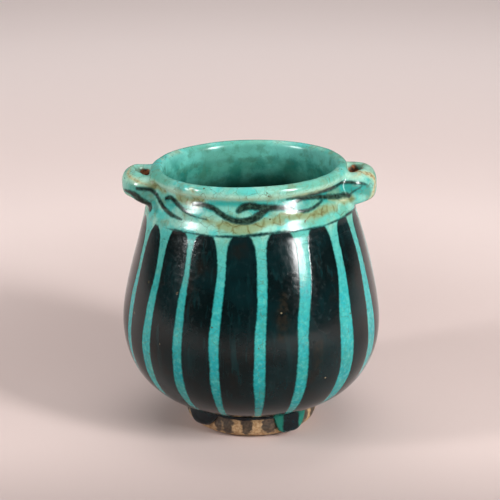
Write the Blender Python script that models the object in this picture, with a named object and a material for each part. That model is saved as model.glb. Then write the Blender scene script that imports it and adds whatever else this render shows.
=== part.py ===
"""Glazed pot: a small round-bellied jar with a rolled lip and two pierced lugs.

Metres, +Z up. The origin is the centre of the foot ring's underside. The lugs lie along X and
the front is -Y. The pot is put together as a potter does it: a foot ring, a belly, a collar and
a lip are luted to each other at keyed edges, the lugs are pressed on the wall, and the glaze has
run down into a thick bead of glass over the foot.
"""
from math import cos, hypot, pi, radians, sin, sqrt

import bmesh
import bpy
from mathutils import Vector

# Driving sizes of the foot ring
FOOT_HEIGHT = 0.0140
FOOT_RADIUS = 0.0350
FOOT_CONTACT_RADIUS = 0.0262
FOOT_EDGE_RISE = 0.0080
FOOT_BORE_RADIUS = 0.0200
FOOT_BORE_CHAMFER = 0.0012
SPIGOT_DEPTH = 0.0040
BASE_OVERHANG = 0.0002

# Driving sizes of the belly
BELLY_RADIUS = 0.0681
BELLY_HEIGHT = 0.0570
BELLY_WALL = 0.0065
UNDERSIDE_RUN = 0.0200
UNDERSIDE_RISE = 0.0055
LOWER_FULLNESS = 0.0220
UPPER_FULLNESS = 0.0150

# Driving sizes of the neck and the lip
CREASE_RADIUS = 0.0496
CREASE_HEIGHT = 0.1340
COLLAR_HEIGHT = 0.0220
NECK_LEAD_IN = 0.0320
NECK_LEAD_OUT = 0.0100
NECK_WALL = 0.0050
NECK_SWELL = 0.0005
SWELL_DEPTH = 0.0160
SWELL_COUNT = 2
LIP_ROLL_RADIUS = 0.0032
LIP_SET_IN = 0.0014
LIP_RISE = 0.0041
LIP_TURN_UNDER = radians(-50)

# The keyed edges where two pieces of clay are luted, and the slip that fills them
SLIP = 0.0003
KEY_RISE = 0.0014
KEY_INSET = 0.30

# The neck leans a little towards -X, from a shoulder that lies this far under the seam
LEAN = radians(1.4)
LEAN_START_DROP = 0.0320
LEAN_PIVOT_DROP = 0.0240
LEAN_FULL_DROP = 0.0020

# The lugs: the side that each is on, the thickness of its strap, and how far its edges lie
# above or under the crease
LUGS = {
    "handle_left": dict(
        side=-1, strap=0.0072,
        tip_top=0.0050, tip_bottom=-0.0074, root_top=0.0038, root_bottom=-0.0110
    ),
    "handle_right": dict(
        side=1, strap=0.0069,
        tip_top=0.0032, tip_bottom=-0.0122, root_top=0.0030, root_bottom=-0.0134
    ),
}
LUG_STAND_OUT = 0.0163
LUG_SPREAD = 0.0122
LUG_SPRING_OUT = 0.0004
LUG_ROOT_THICKNESS = 0.0113
LUG_FLARE_START = radians(40)
LUG_EMBED = 0.0060
LUG_SECTION_SQUARENESS = 3.2
LUG_PLAN_SQUARENESS = 2.5

# The bead of glass under the belly, and where it has run down the foot
BEAD_BOTTOM = 0.0118
BEAD_THICKNESS = 0.0016
BEAD_ROUNDING = 0.45
RUNS = {
    "glaze_run_left": dict(
        middle=radians(-43), half=radians(19), drop=0.0060, swell=0.0017, blunt=2
    ),
    "glaze_run_right": dict(
        middle=radians(35.5), half=radians(16), drop=0.0092, swell=0.0009, blunt=4
    ),
}

# Fineness of the turned and swept shapes
SEGMENTS = 48
LOWER_STEPS = 8
UPPER_STEPS = 8
INNER_LOWER_STEPS = 5
INNER_UPPER_STEPS = 5
COLLAR_STEPS = 8
COLLAR_INNER_STEPS = 3
LIP_STEPS = 9
FOOT_EDGE_STEPS = 5
LUG_STEPS = 16
LUG_SECTION_COUNT = 14
TANGENT_STEP = radians(3)
BEAD_STEP = radians(7.5)
RUN_STEPS = 10
BEAD_INNER_STEPS = 3
BEAD_OUTER_STEPS = 5
BISECTIONS = 40

# Colours
TURQUOISE = (0.10, 0.50, 0.47, 1)
NIGHT_TEAL = (0.010, 0.045, 0.050, 1)
BUFF_CLAY = (0.42, 0.28, 0.16, 1)
DARK_GLASS = (0.006, 0.025, 0.035, 1)


# Curves of the pot's outline, as points (radius, height)

def bezier_point(curve, t):
    s = 1 - t
    weights = (s ** 3, 3 * s * s * t, 3 * s * t * t, t ** 3)
    return tuple(sum(w * p[k] for w, p in zip(weights, curve)) for k in (0, 1))


def bezier_normal(curve, t):
    """The unit normal to the right of the way up, which points out of the pot."""
    s = 1 - t
    weights = (-3 * s * s, 3 * s * s - 6 * s * t, 6 * s * t - 3 * t * t, 3 * t * t)
    dr, dz = (sum(w * p[k] for w, p in zip(weights, curve)) for k in (0, 1))
    length = hypot(dr, dz)
    return dz / length, -dr / length


def bezier_at_height(curve, height):
    low, high = 0.0, 1.0
    for _ in range(BISECTIONS):
        middle = (low + high) / 2
        if bezier_point(curve, middle)[1] < height:
            low = middle
        else:
            high = middle
    return (low + high) / 2


def bezier_at_radius(curve, radius):
    low, high = 0.0, 1.0
    for _ in range(BISECTIONS):
        middle = (low + high) / 2
        if bezier_point(curve, middle)[0] < radius:
            low = middle
        else:
            high = middle
    return (low + high) / 2


UNDERSIDE_START = FOOT_RADIUS + BASE_OVERHANG
LOWER_CURVE = (
    (UNDERSIDE_START, FOOT_HEIGHT),
    (UNDERSIDE_START + UNDERSIDE_RUN, FOOT_HEIGHT + UNDERSIDE_RISE),
    (BELLY_RADIUS, BELLY_HEIGHT - LOWER_FULLNESS),
    (BELLY_RADIUS, BELLY_HEIGHT),
)
UPPER_CURVE = (
    (BELLY_RADIUS, BELLY_HEIGHT),
    (BELLY_RADIUS, BELLY_HEIGHT + UPPER_FULLNESS),
    (CREASE_RADIUS + NECK_LEAD_OUT, CREASE_HEIGHT - NECK_LEAD_IN),
    (CREASE_RADIUS, CREASE_HEIGHT),
)
SEAM_HEIGHT = CREASE_HEIGHT - COLLAR_HEIGHT
SEAM_T = bezier_at_height(UPPER_CURVE, SEAM_HEIGHT)
LIP_RADIUS = CREASE_RADIUS - LIP_SET_IN
LIP_HEIGHT = CREASE_HEIGHT + LIP_RISE
LUG_REACH = CREASE_RADIUS + LUG_STAND_OUT
LUG_SPRING = CREASE_RADIUS + LUG_SPRING_OUT


def spread(start, end, steps):
    return [start + (end - start) * k / steps for k in range(steps + 1)]


def neck_swell(height):
    """The soft throwing rings round the neck."""
    share = 1 - (CREASE_HEIGHT - height) / SWELL_DEPTH
    return NECK_SWELL * sin(pi * SWELL_COUNT * share) ** 2 if 0 < share < 1 else 0.0


def wall_thickness(t):
    """The upper wall thins evenly from the seam up to the crease under the lip."""
    share = max(0.0, (t - SEAM_T) / (1 - SEAM_T))
    return BELLY_WALL + (NECK_WALL - BELLY_WALL) * share


def outside(curve, t, stand_off=0.0):
    radius, height = bezier_point(curve, t)
    normal_r, normal_z = bezier_normal(curve, t)
    out = stand_off + neck_swell(height)
    return radius + normal_r * out, height + normal_z * out


def inside(curve, t, thickness):
    radius, height = bezier_point(curve, t)
    normal_r, normal_z = bezier_normal(curve, t)
    return radius - normal_r * thickness, height - normal_z * thickness


def keyed_edge(outer, inner, grooved):
    """The edge of a wall from its outer to its inner corner, with a low key in its middle.

    The lower piece carries the key. The upper piece is grooved for it, and stands clear of it by
    the thickness of the slip all round.
    """
    length = hypot(inner[0] - outer[0], inner[1] - outer[1])
    along = ((inner[0] - outer[0]) / length, (inner[1] - outer[1]) / length)
    up = (along[1], -along[0])
    lift = SLIP if grooved else 0.0
    near = KEY_INSET * length + (0.0 if grooved else SLIP)
    far = length - near
    stations = [(0, 0), (near, 0), (near, KEY_RISE), (far, KEY_RISE), (far, 0), (length, 0)]
    return [
        (outer[0] + along[0] * a + up[0] * (u + lift), outer[1] + along[1] * a + up[1] * (u + lift))
        for a, u in stations
    ]


def lip_arc(stand_off, start, end, steps):
    radius = LIP_ROLL_RADIUS + stand_off
    angles = spread(start, end, steps)
    return [(LIP_RADIUS + radius * cos(a), LIP_HEIGHT + radius * sin(a)) for a in angles]


def foot_radius(height):
    """The foot's outer side: a quarter ellipse from the contact ring, then upright."""
    if height >= FOOT_EDGE_RISE:
        return FOOT_RADIUS
    share = 1 - height / FOOT_EDGE_RISE
    return FOOT_CONTACT_RADIUS + (FOOT_RADIUS - FOOT_CONTACT_RADIUS) * sqrt(1 - share * share)


def underside_height(radius):
    return bezier_point(LOWER_CURVE, bezier_at_radius(LOWER_CURVE, radius))[1]


# Outlines of the turned pieces, each a closed loop of (radius, height)

def foot_ring_outline():
    top = FOOT_HEIGHT - SLIP
    rounding = FOOT_RADIUS - FOOT_CONTACT_RADIUS
    edge = [
        (FOOT_CONTACT_RADIUS + rounding * sin(a), FOOT_EDGE_RISE * (1 - cos(a)))
        for a in spread(0, pi / 2, FOOT_EDGE_STEPS)
    ]
    return edge + [
        (FOOT_RADIUS, top),
        (FOOT_BORE_RADIUS, top),
        (FOOT_BORE_RADIUS, FOOT_BORE_CHAMFER),
        (FOOT_BORE_RADIUS + FOOT_BORE_CHAMFER, 0),
    ]


def body_outline():
    spigot = [
        (0, FOOT_HEIGHT - SPIGOT_DEPTH),
        (FOOT_BORE_RADIUS - SLIP, FOOT_HEIGHT - SPIGOT_DEPTH),
        (FOOT_BORE_RADIUS - SLIP, FOOT_HEIGHT),
    ]
    outer = [outside(LOWER_CURVE, t) for t in spread(0, 1, LOWER_STEPS)]
    outer += [outside(UPPER_CURVE, t) for t in spread(0, SEAM_T, UPPER_STEPS)[1:-1]]
    edge = keyed_edge(outside(UPPER_CURVE, SEAM_T), inside(UPPER_CURVE, SEAM_T, BELLY_WALL), False)
    inner = [inside(UPPER_CURVE, t, BELLY_WALL) for t in spread(SEAM_T, 0, INNER_UPPER_STEPS)[1:]]
    inner += [inside(LOWER_CURVE, t, BELLY_WALL) for t in spread(1, 0, INNER_LOWER_STEPS)[1:]]
    return spigot + outer + edge + inner + [(0, inner[-1][1])]


def collar_outline():
    bottom = keyed_edge(outside(UPPER_CURVE, SEAM_T), inside(UPPER_CURVE, SEAM_T, BELLY_WALL), True)
    top = keyed_edge(outside(UPPER_CURVE, 1), inside(UPPER_CURVE, 1, NECK_WALL), False)
    outer = [outside(UPPER_CURVE, t) for t in spread(SEAM_T, 1, COLLAR_STEPS)[1:-1]]
    inner = [
        inside(UPPER_CURVE, t, wall_thickness(t))
        for t in spread(1, SEAM_T, COLLAR_INNER_STEPS)[1:-1]
    ]
    return bottom[::-1] + outer + top + inner


def lip_outline():
    bottom = keyed_edge(outside(UPPER_CURVE, 1), inside(UPPER_CURVE, 1, NECK_WALL), True)
    return bottom[::-1] + lip_arc(0, LIP_TURN_UNDER, pi, LIP_STEPS)


def wall_cutter_outline():
    """The collar and lip as one solid, thicker by the slip: it saddles the lugs' roots."""
    wall = [outside(UPPER_CURVE, t, SLIP) for t in spread(SEAM_T, 1, COLLAR_STEPS)]
    below = (wall[0][0], wall[0][1] - LUG_EMBED)
    roll = lip_arc(SLIP, LIP_TURN_UNDER, pi / 2, LIP_STEPS)
    return [(0, below[1]), below] + wall + roll + [(0, roll[-1][1])]


# Making solids

def ease(value, start, end):
    share = min(1.0, max(0.0, (value - start) / (end - start)))
    return share * share * (3 - 2 * share)


def lean(point):
    """Tips the neck about a pivot at the shoulder, growing up to the full lean above it."""
    pivot = SEAM_HEIGHT - LEAN_PIVOT_DROP
    angle = -LEAN * ease(point[2], SEAM_HEIGHT - LEAN_START_DROP, SEAM_HEIGHT - LEAN_FULL_DROP)
    x, rise = point[0], point[2] - pivot
    height = pivot + rise * cos(angle) - x * sin(angle)
    return Vector((x * cos(angle) + rise * sin(angle), point[1], height))


def make_material(name, colour, roughness):
    material = bpy.data.materials.new(name)
    material.use_nodes = True
    shader = material.node_tree.nodes["Principled BSDF"]
    shader.inputs["Base Color"].default_value = colour
    shader.inputs["Roughness"].default_value = roughness
    shader.inputs["Metallic"].default_value = 0.0
    material.diffuse_color = colour
    return material


def make_object(name, bm, material):
    bmesh.ops.recalc_face_normals(bm, faces=bm.faces)
    for vertex in bm.verts:
        vertex.co = lean(vertex.co)
    mesh = bpy.data.meshes.new(name)
    bm.to_mesh(mesh)
    bm.free()
    mesh.shade_smooth()
    mesh.set_sharp_from_angle(angle=radians(40))
    mesh.materials.append(material)
    piece = bpy.data.objects.new(name, mesh)
    bpy.context.scene.collection.objects.link(piece)
    return piece


def turned(name, outline, material):
    """Spins a closed outline about the Z axis, as on the wheel."""
    bm = bmesh.new()
    corners = [bm.verts.new((radius, 0, height)) for radius, height in outline]
    pairs = list(zip(corners, corners[1:] + corners[:1]))
    if outline[0][0] == 0:
        pairs.pop()
    edges = [bm.edges.new(pair) for pair in pairs]
    bmesh.ops.spin(
        bm, geom=corners + edges, cent=(0, 0, 0), axis=(0, 0, 1), angle=2 * pi,
        steps=SEGMENTS, use_merge=True
    )
    bmesh.ops.remove_doubles(bm, verts=bm.verts, dist=1e-6)
    return make_object(name, bm, material)


def lofted(name, loops, material):
    """Skins a row of closed loops of equal count and caps its two ends."""
    bm = bmesh.new()
    rings = [[bm.verts.new(point) for point in loop] for loop in loops]
    for ring, following in zip(rings, rings[1:]):
        for k in range(len(ring)):
            after = (k + 1) % len(ring)
            bm.faces.new((ring[k], ring[after], following[after], following[k]))
    bm.faces.new(rings[0])
    bm.faces.new(rings[-1])
    bmesh.ops.triangulate(bm, faces=[face for face in bm.faces if len(face.verts) > 4])
    return make_object(name, bm, material)


# The lugs

def rounded_square(angle, squareness):
    """A point on a circle of radius 1 that is drawn out towards a square."""
    c, s = cos(angle), sin(angle)
    power = 2 / squareness
    return abs(c) ** power * (1 if c > 0 else -1), abs(s) ** power * (1 if s > 0 else -1)


def strap_centre(strap, angle):
    """The middle of the strap in plan, for the lug on +X: 0 is its tip, and a quarter turn a root."""
    out, along = rounded_square(angle, LUG_PLAN_SQUARENESS)
    return Vector((LUG_SPRING + (LUG_REACH - strap / 2 - LUG_SPRING) * out, LUG_SPREAD * along))


def strap_loop(lug, station):
    """The strap's rounded section at one station of its loop, from -1 at a root to 1 at the other."""
    root = pi / 2
    angle = max(-root, min(root, station * root))
    centre = strap_centre(lug["strap"], angle)
    centre.x -= max(0.0, abs(station) - 1)
    before = strap_centre(lug["strap"], max(-root, angle - TANGENT_STEP))
    after = strap_centre(lug["strap"], min(root, angle + TANGENT_STEP))
    tangent = (after - before).normalized()
    flare = ease(abs(angle), LUG_FLARE_START, root)
    half_thickness = (lug["strap"] + (LUG_ROOT_THICKNESS - lug["strap"]) * flare) / 2
    top = CREASE_HEIGHT + lug["tip_top"] + (lug["root_top"] - lug["tip_top"]) * flare
    bottom = CREASE_HEIGHT + lug["tip_bottom"] + (lug["root_bottom"] - lug["tip_bottom"]) * flare
    loop = []
    for k in range(LUG_SECTION_COUNT):
        out, up = rounded_square(2 * pi * (k + 0.5) / LUG_SECTION_COUNT, LUG_SECTION_SQUARENESS)
        x = centre.x + tangent.y * half_thickness * out
        y = centre.y - tangent.x * half_thickness * out
        loop.append((lug["side"] * x, y, (top + bottom) / 2 + (top - bottom) / 2 * up))
    return loop


def make_lug(name, cutter, material):
    stations = [-1 - LUG_EMBED] + spread(-1, 1, LUG_STEPS) + [1 + LUG_EMBED]
    strap = lofted(name, [strap_loop(LUGS[name], station) for station in stations], material)
    cut = strap.modifiers.new("saddle on the wall", "BOOLEAN")
    cut.operation = "DIFFERENCE"
    cut.solver = "EXACT"
    cut.object = cutter
    return strap


# The bead of glass round the foot

def bead_loop(azimuth):
    """The bead's section at an azimuth from the front: between the foot's side and the belly."""
    bottom, thickness = BEAD_BOTTOM, BEAD_THICKNESS
    for run in RUNS.values():
        off = abs(azimuth - run["middle"]) / run["half"]
        if off < 1:
            bottom -= run["drop"] * (1 - off ** run["blunt"])
            thickness += run["swell"] * (1 - off ** run["blunt"])
    inner_top = underside_height(FOOT_RADIUS + SLIP) - SLIP
    outer_top = underside_height(FOOT_RADIUS + SLIP + thickness) - SLIP
    section = [(foot_radius(z) + SLIP, z) for z in spread(inner_top, bottom, BEAD_INNER_STEPS)]
    for share in spread(0, 1, BEAD_OUTER_STEPS)[1:]:
        z = bottom + (outer_top - bottom) * share
        rounding = 1 - min(1.0, share / BEAD_ROUNDING)
        section.append((foot_radius(z) + SLIP + thickness * sqrt(1 - rounding * rounding), z))
    return [(radius * sin(azimuth), -radius * cos(azimuth), z) for radius, z in section]


def bead_stretch(name, start, end, steps, material):
    """One stretch of the bead, a slip's breadth short of its neighbours at each end."""
    trim = SLIP / FOOT_RADIUS / 2
    return lofted(name, [bead_loop(a) for a in spread(start + trim, end - trim, steps)], material)


def make_bead(material):
    left, right = RUNS["glaze_run_left"], RUNS["glaze_run_right"]
    stops = [
        left["middle"] - left["half"],
        left["middle"] + left["half"],
        right["middle"] - right["half"],
        right["middle"] + right["half"],
    ]
    gap_steps = round((stops[2] - stops[1]) / BEAD_STEP)
    back_steps = round((stops[0] + 2 * pi - stops[3]) / BEAD_STEP)
    return [
        bead_stretch("glaze_run_left", stops[0], stops[1], RUN_STEPS, material),
        bead_stretch("glaze_edge_front", stops[1], stops[2], gap_steps, material),
        bead_stretch("glaze_run_right", stops[2], stops[3], RUN_STEPS, material),
        bead_stretch("glaze_edge_back", stops[3], stops[0] + 2 * pi, back_steps, material),
    ]


def build_pot():
    for item in list(bpy.data.objects):
        bpy.data.objects.remove(item, do_unlink=True)

    turquoise = make_material("turquoise glaze", TURQUOISE, 0.25)
    panels = make_material("dark panelled glaze", NIGHT_TEAL, 0.25)
    clay = make_material("bare buff clay", BUFF_CLAY, 0.90)
    glass = make_material("thick dark glass", DARK_GLASS, 0.12)

    pieces = [
        turned("foot_ring", foot_ring_outline(), clay),
        turned("body", body_outline(), panels),
        turned("neck_collar", collar_outline(), turquoise),
        turned("rim_lip", lip_outline(), turquoise),
    ]
    cutter = turned("wall_cutter", wall_cutter_outline(), turquoise)
    cutter.hide_render = True
    cutter.display_type = "WIRE"
    pieces += [make_lug(name, cutter, turquoise) for name in LUGS]
    pieces += make_bead(glass)

    pot = bpy.data.objects.new("pot", None)
    bpy.context.scene.collection.objects.link(pot)
    for piece in pieces + [cutter]:
        piece.parent = pot


build_pot()
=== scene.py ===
# %% [markdown]
# # A small glazed jar with two pierced lugs
#
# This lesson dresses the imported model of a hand-thrown jar. The model gives the true sizes, the
# seams between the pieces of clay and the collisions. Here each piece gets its fired look: softly
# blended clay, a crazed turquoise glaze, dark brushed panels and a bare foot. Every new piece is
# built upright round the Z axis. The neck is tipped at the end, as that of the real jar leans.

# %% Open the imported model
from math import copysign, cos, pi, radians, sin

import bmesh
import bpy
import numpy as np
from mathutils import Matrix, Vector
from mathutils.bvhtree import BVHTree


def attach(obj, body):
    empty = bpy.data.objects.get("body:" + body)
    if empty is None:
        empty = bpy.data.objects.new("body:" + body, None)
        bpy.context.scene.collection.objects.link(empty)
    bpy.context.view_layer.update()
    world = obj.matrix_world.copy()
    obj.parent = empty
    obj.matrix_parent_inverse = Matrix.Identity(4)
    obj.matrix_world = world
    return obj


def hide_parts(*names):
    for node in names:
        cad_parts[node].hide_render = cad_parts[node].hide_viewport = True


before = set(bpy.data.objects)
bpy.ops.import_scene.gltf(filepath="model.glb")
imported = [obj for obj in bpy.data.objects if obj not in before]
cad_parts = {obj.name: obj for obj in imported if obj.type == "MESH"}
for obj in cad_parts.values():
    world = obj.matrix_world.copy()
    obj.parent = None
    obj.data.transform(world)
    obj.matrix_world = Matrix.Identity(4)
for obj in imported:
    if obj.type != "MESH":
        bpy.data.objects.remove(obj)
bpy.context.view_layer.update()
MM = 0.001
print("nodes:", sorted(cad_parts))

# %% [markdown]
# ## The wall's outline
#
# A potter's profile is two long curves: one from the foot out to the widest part of the belly, and
# one from there in to the crease under the lip. Two Bezier curves hold it exactly, and the same
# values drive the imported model, so the dressed jar fits it. The points are (radius, height).

# %% The two curves of the wall
LOWER_WALL = np.array([(35.2, 14.0), (55.2, 19.5), (68.1, 35.0), (68.1, 57.0)]) * MM
UPPER_WALL = np.array([(68.1, 57.0), (68.1, 72.0), (59.6, 102.0), (49.6, 134.0)]) * MM
BELLY_WALL = 6.5 * MM
NECK_WALL = 5.0 * MM
SEAM_HEIGHT = 112.0 * MM
CREASE_HEIGHT = 134.0 * MM
SWELL = 0.5 * MM
SWELL_DEPTH = 16.0 * MM
SWELL_DROP = 2.6 * MM
ROW = 0.9 * MM


def along_curve(points, share):
    """Places on a Bezier curve and the unit normals that point out of the jar."""
    t = np.asarray(share, float)[:, None]
    s = 1 - t
    a, b, c, d = points
    place = s**3 * a + 3 * s * s * t * b + 3 * s * t * t * c + t**3 * d
    slope = s * s * (b - a) + 2 * s * t * (c - b) + t * t * (d - c)
    slope /= np.linalg.norm(slope, axis=1)[:, None]
    return place, np.column_stack((slope[:, 1], -slope[:, 0]))


def throwing_rings(height):
    """Two soft swellings that the fingers left round the neck."""
    share = 1 - (CREASE_HEIGHT - SWELL_DROP - height) / SWELL_DEPTH
    return np.where((share > 0) & (share < 1), SWELL * np.sin(2 * pi * share) ** 2, 0)


FINE = np.linspace(0, 1, 2001)


def share_at(height):
    """How far along the upper curve the wall reaches a height."""
    return float(np.interp(height, along_curve(UPPER_WALL, FINE)[0][:, 1], FINE))


SEAM_SHARE = share_at(SEAM_HEIGHT)


def wall(points, start, end, depth=0.0, spacing=ROW):
    """Evenly spaced places on the wall, at a depth under its outer face."""
    fine = np.linspace(start, end, 400)
    place = along_curve(points, fine)[0]
    run = np.concatenate(([0], np.cumsum(np.linalg.norm(np.diff(place, axis=0), axis=1))))
    count = max(3, round(run[-1] / spacing))
    share = np.interp(np.linspace(0, run[-1], count + 1), run, fine)
    place, normal = along_curve(points, share)
    thinning = np.clip((share - SEAM_SHARE) / (1 - SEAM_SHARE), 0, 1) if points is UPPER_WALL else 0
    inward = depth * (1 + (NECK_WALL / BELLY_WALL - 1) * thinning)
    swell = throwing_rings(place[:, 1]) if depth <= 0 else 0
    return place + normal * np.reshape(swell - inward, (-1, 1))


outer_line = np.vstack((wall(LOWER_WALL, 0, 1), wall(UPPER_WALL, 0, 1)[1:]))


def wall_radius(height):
    """The wall's outer radius at a height, both in millimetres."""
    return np.interp(height, outer_line[:, 1] / MM, outer_line[:, 0] / MM)


print("widest radius mm:", round(outer_line[:, 0].max() / MM, 1))

# %% [markdown]
# ## Turning on the wheel
#
# A turned piece is one section spun round the axis. The section starts as a circle primitive whose
# points are laid on the outline, and Spin sweeps it through a whole turn. Merging by distance then
# closes the seam of the turn and the poles.

# %% Helpers for new pieces
WELD = 0.002 * MM


def begin():
    """Nothing stays selected, so that the next operator acts on the new piece alone."""
    if bpy.context.object and bpy.context.object.mode != "OBJECT":
        bpy.ops.object.mode_set(mode="OBJECT")
    bpy.ops.object.select_all(action="DESELECT")


def take_up(piece):
    begin()
    piece.select_set(True)
    bpy.context.view_layer.objects.active = piece
    return piece


def open_up(piece):
    """Edit mode, with the whole piece selected."""
    take_up(piece)
    bpy.ops.object.mode_set(mode="EDIT")
    bpy.ops.mesh.select_all(action="SELECT")


def finish_with(piece, kind, **settings):
    """Adds a modifier and applies it at once."""
    modifier = piece.modifiers.new(kind.lower(), kind)
    for name, value in settings.items():
        setattr(modifier, name, value)
    take_up(piece)
    bpy.ops.object.modifier_apply(modifier=modifier.name)


def ring_of_points(name, points):
    """A circle primitive whose points are laid on a closed loop."""
    begin()
    bpy.ops.mesh.primitive_circle_add(vertices=len(points), fill_type="NOTHING")
    piece = bpy.context.object
    piece.name = piece.data.name = name
    for vertex, point in zip(piece.data.vertices, points):
        vertex.co = point
    open_up(piece)
    return piece


def close_up():
    """Merges doubles, drops strays and turns every face outwards."""
    bpy.ops.mesh.select_all(action="SELECT")
    bpy.ops.mesh.remove_doubles(threshold=WELD)
    bpy.ops.mesh.delete_loose()
    bpy.ops.mesh.select_all(action="SELECT")
    bpy.ops.mesh.normals_make_consistent(inside=False)
    bpy.ops.object.mode_set(mode="OBJECT")


def turned(name, outline, steps):
    """A section, as (radius, height) points, spun round the Z axis."""
    piece = ring_of_points(name, [(radius, 0, height) for radius, height in outline])
    bpy.ops.mesh.spin(steps=steps, angle=2 * pi, center=(0, 0, 0), axis=(0, 0, 1))
    close_up()
    return piece


def swept(name, loops):
    """A ring is capped, then extruded from station to station and laid on each loop in turn."""
    piece = ring_of_points(name, loops[0])
    bpy.ops.mesh.edge_face_add()
    for before, after in zip(loops, loops[1:]):
        bpy.ops.mesh.extrude_region_move()
        shape = bmesh.from_edit_mesh(piece.data)
        for vertex in [v for v in shape.verts if v.select]:
            away = [(vertex.co - Vector(place)).length_squared for place in before]
            vertex.co = after[away.index(min(away))]
        bmesh.update_edit_mesh(piece.data)
    close_up()
    return piece


# %% [markdown]
# ## The belly
#
# The belly is thrown in one pull from a thick floor, so it is one turned piece with an outer and an
# inner face. Its top edge is flat and lies at the seam with the collar.

# %% Turn the belly
BELLY_TURNS = 400
SPIGOT_RADIUS = 19.7 * MM
SPIGOT_HEIGHT = 10.0 * MM
FOOT_TOP = 14.0 * MM
INNER_ROW = 2.0 * MM
EDGE_STEPS, FLOOR_STEPS = 4, 12


def flat_run(start, end, count):
    return np.linspace(start, end, count + 1)[1:-1]


floor_line = [(0, SPIGOT_HEIGHT), (SPIGOT_RADIUS, SPIGOT_HEIGHT), (SPIGOT_RADIUS, FOOT_TOP)]
belly_outside = np.vstack((wall(LOWER_WALL, 0, 1), wall(UPPER_WALL, 0, SEAM_SHARE)[1:]))
belly_inside = np.vstack((
    wall(UPPER_WALL, SEAM_SHARE, 0, BELLY_WALL, INNER_ROW), wall(LOWER_WALL, 1, 0, BELLY_WALL, INNER_ROW)[1:]
))
top_edge = flat_run(belly_outside[-1], belly_inside[0], EDGE_STEPS)
inner_floor = np.linspace(belly_inside[-1], (0, belly_inside[-1][1]), FLOOR_STEPS)[1:]
belly = turned(
    "pot_body", np.vstack((floor_line, belly_outside, top_edge, belly_inside, inner_floor)), BELLY_TURNS
)
print("belly faces:", len(belly.data.polygons))

# %% [markdown]
# ## The neck, the lip and the lugs
#
# On the real jar the lugs are pressed on the wet wall and the glaze runs over every joint, so no
# joint shows as a line: each root flows into the neck with a soft fillet. The way to that look is
# to turn the neck with its rolled lip, sweep the two straps, join them, and let a voxel remesh weld
# them into one skin that a little smoothing then rounds, as slip and glaze do.

# %% Turn the neck and its lip
LIP_RADIUS = 48.2 * MM
LIP_HEIGHT = 138.1 * MM
LIP_ROLL = 3.2 * MM
LIP_TUCK, LIP_STEPS = -50, 24
NECK_TURNS = 240
BELOW_SEAM = 5.0 * MM


def lip_roll(start, end, count, stand_off=0.0):
    """The round of the lip from one angle to another, in degrees above level."""
    angle = np.linspace(radians(start), radians(end), count + 1)
    radius = LIP_ROLL + stand_off
    return np.column_stack((LIP_RADIUS + radius * np.cos(angle), LIP_HEIGHT + radius * np.sin(angle)))


under_share = share_at(SEAM_HEIGHT - BELOW_SEAM)
neck_outside = wall(UPPER_WALL, under_share, 1)
neck_inside = wall(UPPER_WALL, 1, under_share, BELLY_WALL)
neck = turned("neck", np.vstack((neck_outside, lip_roll(LIP_TUCK, 180, LIP_STEPS), neck_inside)), NECK_TURNS)
print("neck faces:", len(neck.data.polygons))

# %% [markdown]
# ### The straps
#
# A lug is a strap of clay bent to a U in plan. Its section is a rounded oblong that swells towards
# the two roots, and its top slants down and out, as the thumb left it. The ring of that section is
# extruded along the bend.

# %% Sweep the two straps
# In millimetres: the thickness, then the bottom and the top at the tip of the bend and at the roots.
STRAPS = {
    "left": dict(side=-1, thick=7.2, tip=(126.6, 139.0), root=(123.0, 137.8)),
    "right": dict(side=1, thick=8.0, tip=(121.8, 137.2), root=(120.6, 137.0)),
}
STRAP_REACH = 65.9
STRAP_SPRING = 50.0
STRAP_SPREAD = 12.2
ROOT_THICK = 11.3
FLARE_START = radians(40)
BEND_STEP = radians(3)
STRAP_EMBED = 4.0
STRAP_STATIONS = 33
SECTION_POINTS = 24
TOP_SLANT, FULLER_FRONT, THINNER_BACK = 1.5, 2.2, 1.2
PLAN_SQUARENESS = 2.5
SECTION_SQUARENESS = 3.0


def ease(value, start, end):
    """Rises smoothly from 0 to 1 as the value goes from start to end."""
    share = np.clip((np.asarray(value, float) - start) / (end - start), 0, 1)
    return share * share * (3 - 2 * share)


def rounded_square(angle, squareness):
    """A point on a square with round corners, or on a circle at a squareness of 2."""
    c, s, power = cos(angle), sin(angle), 2 / squareness
    return copysign(abs(c) ** power, c), copysign(abs(s) ** power, s)


def within_quarter(angle):
    return max(-pi / 2, min(pi / 2, angle))


def strap_middle(thick, angle):
    out, side = rounded_square(angle, PLAN_SQUARENESS)
    return Vector((STRAP_SPRING + (STRAP_REACH - thick / 2 - STRAP_SPRING) * out, STRAP_SPREAD * side))


def strap_loop(strap, station):
    """The strap's section at a station: -1 and 1 are its roots, and beyond them it is in the wall."""
    angle = within_quarter(station * pi / 2)
    middle = strap_middle(strap["thick"], angle)
    middle.x -= max(0.0, abs(station) - 1) * STRAP_EMBED
    before = strap_middle(strap["thick"], within_quarter(angle - BEND_STEP))
    after = strap_middle(strap["thick"], within_quarter(angle + BEND_STEP))
    way = (after - before).normalized()
    flare = float(ease(abs(angle), FLARE_START, pi / 2))
    half = (strap["thick"] + (ROOT_THICK - strap["thick"]) * flare) / 2
    bottom, top = (tip + (root - tip) * flare for tip, root in zip(strap["tip"], strap["root"]))
    fuller = FULLER_FRONT * float(ease(-middle.y, 1, 8)) - THINNER_BACK * float(ease(middle.y, 1, 8))
    loop = []
    for k in range(SECTION_POINTS):
        out, up = rounded_square(2 * pi * (k + 0.5) / SECTION_POINTS, SECTION_SQUARENESS)
        reach = half * out + (fuller * (out - 1) / 2)
        x, y = middle.x + way.y * reach, middle.y - way.x * reach
        z = (top + bottom) / 2 + (top - bottom) / 2 * up - TOP_SLANT * out * max(up, 0) * (1 - flare)
        loop.append((strap["side"] * x * MM, y * MM, z * MM))
    return loop


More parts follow.
